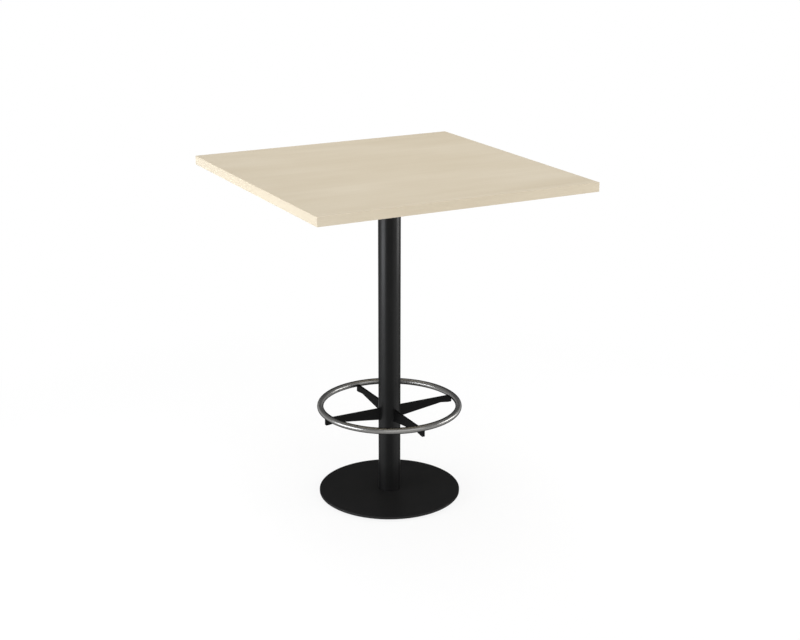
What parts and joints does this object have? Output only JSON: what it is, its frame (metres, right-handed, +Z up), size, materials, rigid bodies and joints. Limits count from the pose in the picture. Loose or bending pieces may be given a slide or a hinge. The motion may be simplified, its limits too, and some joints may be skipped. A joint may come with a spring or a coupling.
{
  "type": "pub table",
  "caption": "Tall square pub table: pale maple laminate top on a black steel column with a steel foot ring on plate arms and a flat round base disc on levelling glides.",
  "frame": {"origin": "on the floor under the middle of the base disc, on the column's axis", "axes": "+Z up along the column, -Y towards the front, +X to the right; the top's sides run along X and Y"},
  "size_m": [0.9, 0.9, 1.06],
  "materials": {
    "maple_laminate": "satin pale maple laminate",
    "maple_edge_band": "satin pale maple edge band",
    "chipboard": "raw chipboard",
    "backing_sheet": "plain laminate sheet",
    "black_powder_coat": "satin black powder coat",
    "stainless_steel": "finely brushed stainless tube",
    "stainless_screw": "plain stainless screw",
    "zinc_steel": "bright zinc plate",
    "bare_steel": "machined mild steel",
    "brass_insert": "turned brass",
    "black_nylon": "moulded nylon"
  },
  "bodies": {
    "table": {"top_laminate": "maple_laminate", "top_core": "chipboard", "backing_laminate": "backing_sheet", "edge_band_front": "maple_edge_band", "edge_band_back": "maple_edge_band", "edge_band_right": "maple_edge_band", "edge_band_left": "maple_edge_band", "threaded_inserts": "brass_insert", "top_screws": "zinc_steel", "mounting_plate": "black_powder_coat", "plate_screws": "zinc_steel", "column_tube": "black_powder_coat", "column_top_plug": "bare_steel", "column_bottom_plug": "bare_steel", "foot_ring": "stainless_steel", "ring_screws": "stainless_screw", "base_disc": "black_powder_coat", "base_screws": "zinc_steel", "ring_arm_right": "black_powder_coat", "ring_arm_back": "black_powder_coat", "ring_arm_left": "black_powder_coat", "ring_arm_front": "black_powder_coat"},
    "pad_front_right": {"glide_pad_front_right": "black_nylon"},
    "stud_front_right": {"glide_stud_front_right": "zinc_steel"},
    "pad_back_right": {"glide_pad_back_right": "black_nylon"},
    "stud_back_right": {"glide_stud_back_right": "zinc_steel"},
    "pad_back_left": {"glide_pad_back_left": "black_nylon"},
    "stud_back_left": {"glide_stud_back_left": "zinc_steel"},
    "pad_front_left": {"glide_pad_front_left": "black_nylon"},
    "stud_front_left": {"glide_stud_front_left": "zinc_steel"}
  },
  "joints": [
    {"name": "drop_front_right", "type": "slide", "parent": "table", "child": "pad_front_right", "axis": [0, 0, -1], "range_m": [0, 0.003]},
    {"name": "turn_front_right", "type": "hinge", "parent": "pad_front_right", "child": "stud_front_right", "pos_m": [0.13435, -0.13435, 0.006], "axis": [0, 0, -1], "range_deg": [0, 864]},
    {"name": "drop_back_right", "type": "slide", "parent": "table", "child": "pad_back_right", "axis": [0, 0, -1], "range_m": [0, 0.003]},
    {"name": "turn_back_right", "type": "hinge", "parent": "pad_back_right", "child": "stud_back_right", "pos_m": [0.13435, 0.13435, 0.006], "axis": [0, 0, -1], "range_deg": [0, 864]},
    {"name": "drop_back_left", "type": "slide", "parent": "table", "child": "pad_back_left", "axis": [0, 0, -1], "range_m": [0, 0.003]},
    {"name": "turn_back_left", "type": "hinge", "parent": "pad_back_left", "child": "stud_back_left", "pos_m": [-0.13435, 0.13435, 0.006], "axis": [0, 0, -1], "range_deg": [0, 864]},
    {"name": "drop_front_left", "type": "slide", "parent": "table", "child": "pad_front_left", "axis": [0, 0, -1], "range_m": [0, 0.003]},
    {"name": "turn_front_left", "type": "hinge", "parent": "pad_front_left", "child": "stud_front_left", "pos_m": [-0.13435, -0.13435, 0.006], "axis": [0, 0, -1], "range_deg": [0, 864]}
  ],
  "couplings": [
    {"joint": "turn_front_right", "follows": "drop_front_right", "rad_per_m": 5026.5},
    {"joint": "turn_back_right", "follows": "drop_back_right", "rad_per_m": 5026.5},
    {"joint": "turn_back_left", "follows": "drop_back_left", "rad_per_m": 5026.5},
    {"joint": "turn_front_left", "follows": "drop_front_left", "rad_per_m": 5026.5}
  ]
}
